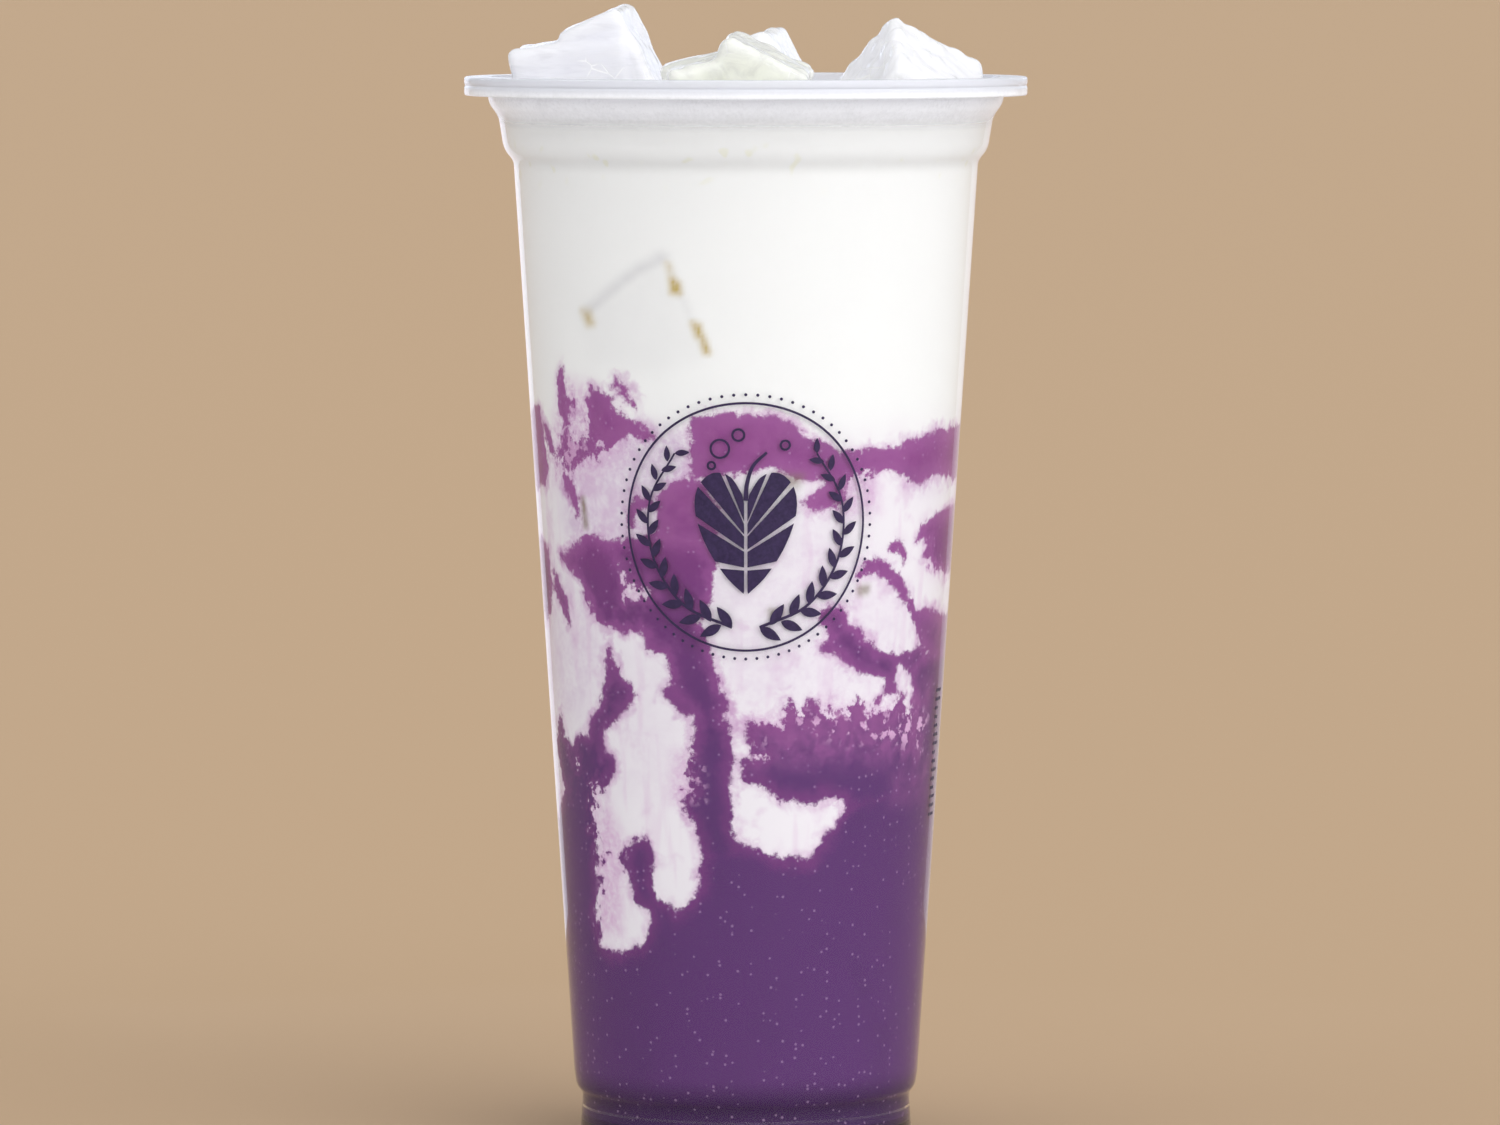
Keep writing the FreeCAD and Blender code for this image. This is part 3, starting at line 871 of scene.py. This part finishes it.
def scattered(name, area, density, smallest, largest, flatness, roundness, seed):
    """Scatters blobs over an area; their sizes are in millimetres."""
    mesh = run_tree(name, area, scatter, {
        "Density": density, "Smallest": smallest * MM, "Largest": largest * MM, "Flatness": flatness,
        "Roundness": roundness, "Seed": seed, "Finish": froth_finish})
    made = link_object(name, mesh)
    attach(made, "root")
    print("%s: %d faces" % (name, len(mesh.polygons)))


neck = [(float(wall_radius(z)) - WALL, z) for z in (173.3, 174.2, 175.2, 176.2, 177.4, 178.6)]
scattered("neck_droplets", band("neck", neck), density=1.5e6, smallest=0.10, largest=0.34, flatness=0.5,
          roundness=1, seed=3)
scattered("froth_ring", band("shore", [(38.0, MILK_LEVEL), (39.6, 173.05), (40.7, 173.2)]), density=1.1e6,
          smallest=0.15, largest=0.85, flatness=0.8, roundness=2, seed=8)
scattered("froth_islands", band("open milk", [(r, MILK_LEVEL) for r in (2.0, 20.0, 38.0)]), density=1.2e5,
          smallest=0.15, largest=0.7, flatness=0.7, roundness=2, seed=5)

# %% [markdown]
# ## Printed mark
# The cup carries a dark indigo mark on its front: a plain medallion of our own with a taro leaf in a wreath
# and a few bubbles over it. The shapes are drawn flat, in millimetres. A Geometry Nodes tree sets the
# wreath's leaves along two arcs and the dots round a ring; a second tree bends the flat print round the
# cup's taper.

# %% Flat shapes
INK_LINE = 0.38  # width of the fine printed lines


def sheet(grid):
    """A mesh from a grid of (x, y) points in millimetres."""
    places = [(x * MM, y * MM, 0.0) for row in grid for x, y in row]
    return mesh_of("shape", places, faces=grid_faces(len(grid), len(grid[0])))


def ring_shape(cx, cy, radius, steps):
    return sheet([[(cx + x, cy + y) for x, y in around(r, steps, True)]
                  for r in (radius - INK_LINE / 2, radius + INK_LINE / 2)])


def smooth_line(points, steps):
    """A smooth curve through the points."""
    place = np.linspace(0, len(points) - 1, steps)
    padded = np.vstack([2 * points[0] - points[1], points, 2 * points[-1] - points[-2]])
    i = np.minimum(place.astype(int), len(points) - 2)
    t = (place - i)[:, None]
    a, b, c, d = padded[i], padded[i + 1], padded[i + 2], padded[i + 3]
    bend, twist = 2 * a - 5 * b + 4 * c - d, 3 * b - a - 3 * c + d
    return 0.5 * (2 * b + (c - a) * t + bend * t ** 2 + twist * t ** 3)


def stroke(points, start, end, steps=16):
    """A tapering line of ink along a smooth curve."""
    line = smooth_line(np.array(points, float), steps)
    way = np.gradient(line, axis=0)
    way /= np.linalg.norm(way, axis=1)[:, None]
    aside = np.stack([-way[:, 1], way[:, 0]], 1) * np.linspace(start, end, steps)[:, None] / 2
    return sheet([list(map(tuple, line + aside)), list(map(tuple, line - aside))])


def leaf_lobes(gap):
    """Half a heart-shaped leaf, cut by its veins into five lobes."""
    edge = smooth_line(np.array([(0, -11.5), (3.4, -8.2), (6.6, -3.2), (8.4, 2.2), (8.0, 6.4), (5.6, 8.9),
                                 (2.6, 8.4), (0.3, 5.0)], float), 61)
    rib = np.linspace(-11.0, 4.2, 61)
    veins = [0, 16, 28, 38, 46, 60]
    lobes = []
    for lobe in range(5):
        share = np.linspace(gap, 1 - gap, 8)
        outer = [edge[int(round(12 * (lobe + s)))] for s in share]
        inner = [(0.28, float(np.interp(veins[lobe] + (veins[lobe + 1] - veins[lobe]) * s, range(61), rib)))
                 for s in share]
        lobes.append([[tuple(np.array(i) * (1 - u) + np.array(o) * u) for i, o in zip(inner, outer)]
                      for u in np.linspace(0, 1, 9)])
    return lobes


# %% Leaf, bubbles and ring
shapes = []
for lobe in leaf_lobes(0.07):
    shapes.append(sheet(lobe))
    shapes.append(sheet([[(-x, y) for x, y in row] for row in lobe]))
shapes.append(stroke([(0.0, 4.4), (0.2, 7.2), (1.2, 10.2), (3.4, 12.4)], 0.8, 0.45))
shapes.append(ring_shape(0, 0, 20.6, 120))
for cx, cy, radius in ((-4.2, 13.0, 1.5), (-1.2, 15.3, 0.95), (-5.6, 10.2, 0.6), (6.4, 13.6, 0.75)):
    shapes.append(ring_shape(cx, cy, radius, 40))
flat_mark = merged("flat_mark", shapes)
print("leaf, bubbles and ring: %d shapes" % len(shapes))

# %% Shapes along an arc
repeat, given = new_tree("shapes along an arc", {"Radius": 0.02, "Start": 0.0, "Sweep": 6.28, "Count": 20,
                                                 "Tilt": 0.0, "Last Size": 1.0})
arc = put("GeometryNodeCurveArc", {"Resolution": given["Count"], "Radius": given["Radius"],
                                   "Start Angle": given["Start"], "Sweep Angle": given["Sweep"]})
odd = calc("MODULO", put("GeometryNodeInputIndex", tree=repeat), 2.0)
side_turn = put("ShaderNodeCombineXYZ", {2: (odd * 2.0 - 1.0) * given["Tilt"]})
along = put("FunctionNodeAlignRotationToVector", {"Vector": put("GeometryNodeInputTangent", tree=repeat)},
            axis="X")
aside = put("FunctionNodeRotateRotation", {0: along, 1: side_turn}, rotation_space="LOCAL")
shrink = put("ShaderNodeMapRange", {"Value": put("GeometryNodeSplineParameter", tree=repeat)["Factor"],
                                    "To Min": 1.0, "To Max": given["Last Size"]})
end_tree(put("GeometryNodeInstanceOnPoints", {
    "Points": arc, "Instance": given["Geometry"], "Rotation": aside, "Scale": shrink}))

# %% Wreath and dots
WREATH_RADIUS = 16.9
DOT_RING_RADIUS = 22.0


def wreath_leaf(length, width):
    """A pointed leaf that starts at the origin and points along x."""
    steps = np.linspace(0, 1, 9)
    half = [width / 2 * math.sin(math.pi * t) ** 0.8 * (1.25 - 0.5 * t) for t in steps]
    return sheet([[(length * t, way * h) for t, h in zip(steps, half)] for way in (-1, 1)])


def along_arc(name, shape, radius, start, sweep, count, tilt, last_size):
    return run_tree(name, shape, repeat, {
        "Radius": radius * MM, "Start": math.radians(start), "Sweep": math.radians(sweep), "Count": count,
        "Tilt": math.radians(tilt), "Last Size": last_size})


parts = [flat_mark]
for start, sweep in ((-82, 128), (-98, -128)):
    turns = [math.radians(start + sweep * t) for t in np.linspace(0, 1, 5)]
    stem = [(WREATH_RADIUS * math.cos(a), WREATH_RADIUS * math.sin(a)) for a in turns]
    parts.append(stroke(stem, 0.5, 0.3, 40))
    parts.append(along_arc("wreath", wreath_leaf(4.3, 1.7), WREATH_RADIUS, start, sweep, count=21, tilt=42,
                           last_size=0.6))
dot = sheet([around(r, 13, True) for r in (0.001, 0.26)])
parts.append(along_arc("dots", dot, DOT_RING_RADIUS, 0, 355, count=72, tilt=0, last_size=1.0))
mark = merged("printed_mark", parts)
print("flat mark: %d faces" % len(mark.polygons))

# %% Bending the print round the cup
wrap, given = new_tree("wrap on the cup", {"Middle Height": 0.1, "Turn": 0.0, "Foot Radius": 0.03,
                                           "Foot Height": 0.01, "Taper": 0.065, "Lift": 0.0, "Finish": None})
flat = put("ShaderNodeSeparateXYZ", {0: put("GeometryNodeInputPosition", tree=wrap)})


def radius_at(z):
    return given["Foot Radius"] + (z - given["Foot Height"]) * given["Taper"]


up = flat[1] + given["Middle Height"]
angle = given["Turn"] + calc("DIVIDE", flat[0], radius_at(given["Middle Height"]))
out = radius_at(up) + given["Lift"]
bent = put("ShaderNodeCombineXYZ", {
    0: out * calc("SINE", angle), 1: out * -1.0 * calc("COSINE", angle), 2: up})
end_tree(put("GeometryNodeSetPosition", {"Geometry": given["Geometry"], "Position": bent}), given["Finish"])

# %% Ink
ink, shader, place = new_material("indigo ink")
worn = ramp(grain(place, 1400.0, 4.0, 0.7), -0.25, 0.3)
fill(shader, {"Base Color": tint(worn, colour(38, 28, 62), colour(58, 42, 84)),
              "Roughness": ramp(grain(place, 700.0), -0.2, 0.2, 0.35, 0.55), "Specular IOR Level": 0.3,
              "Normal": bumped(worn, 0.2, 0.00005)})

# %% Print it
BODY_TOP, BODY_FOOT = CUP_SIDE[5], CUP_SIDE[6]
TAPER = (BODY_TOP[0] - BODY_FOOT[0]) / (BODY_TOP[1] - BODY_FOOT[1])
INK_LIFT = 0.03
INK_THICKNESS = 0.05


def printed(name, flat_shape, middle, turn):
    """Bends a flat print round the cup, middle mm up and turned by degrees, and thickens the ink."""
    mesh = run_tree(name, flat_shape, wrap, {
        "Middle Height": middle * MM, "Turn": math.radians(turn), "Foot Radius": BODY_FOOT[0] * MM,
        "Foot Height": BODY_FOOT[1] * MM, "Taper": TAPER, "Lift": INK_LIFT * MM, "Finish": ink})
    builder = bmesh.new()
    builder.from_mesh(mesh)
    bmesh.ops.remove_doubles(builder, verts=builder.verts, dist=1e-7)
    for face in builder.faces:
        centre = face.calc_center_median()
        if face.normal.dot(Vector((centre.x, centre.y, 0))) < 0:
            face.normal_flip()
    bmesh.ops.solidify(builder, geom=builder.faces[:], thickness=INK_THICKNESS * MM)
    bmesh.ops.recalc_face_normals(builder, faces=builder.faces[:])
    builder.to_mesh(mesh)
    builder.free()
    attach(link_object(name, mesh), "root")
    print("%s: %d faces" % (name, len(mesh.polygons)))


printed("printed_mark", mark, middle=106.0, turn=0.0)

# %% [markdown]
# A cup also has a narrow printed scale near its side. Ours is plain: rows of short bars of different
# lengths.

# %% Printed scale
BAR_LEFT, BAR_HEIGHT = -1.7, 0.55
ROW_STEP = 1.5
random.seed(11)
bars = []
for row in range(15):
    y = -10.5 + ROW_STEP * row
    length = random.choice((1.6, 2.2, 2.8, 3.4))
    bars.append(sheet([[(BAR_LEFT + length * t, level) for t in (0, 0.5, 1)] for level in (y, y + BAR_HEIGHT)]))
printed("printed_scale", merged("scale", bars), middle=66.0, turn=77.0)
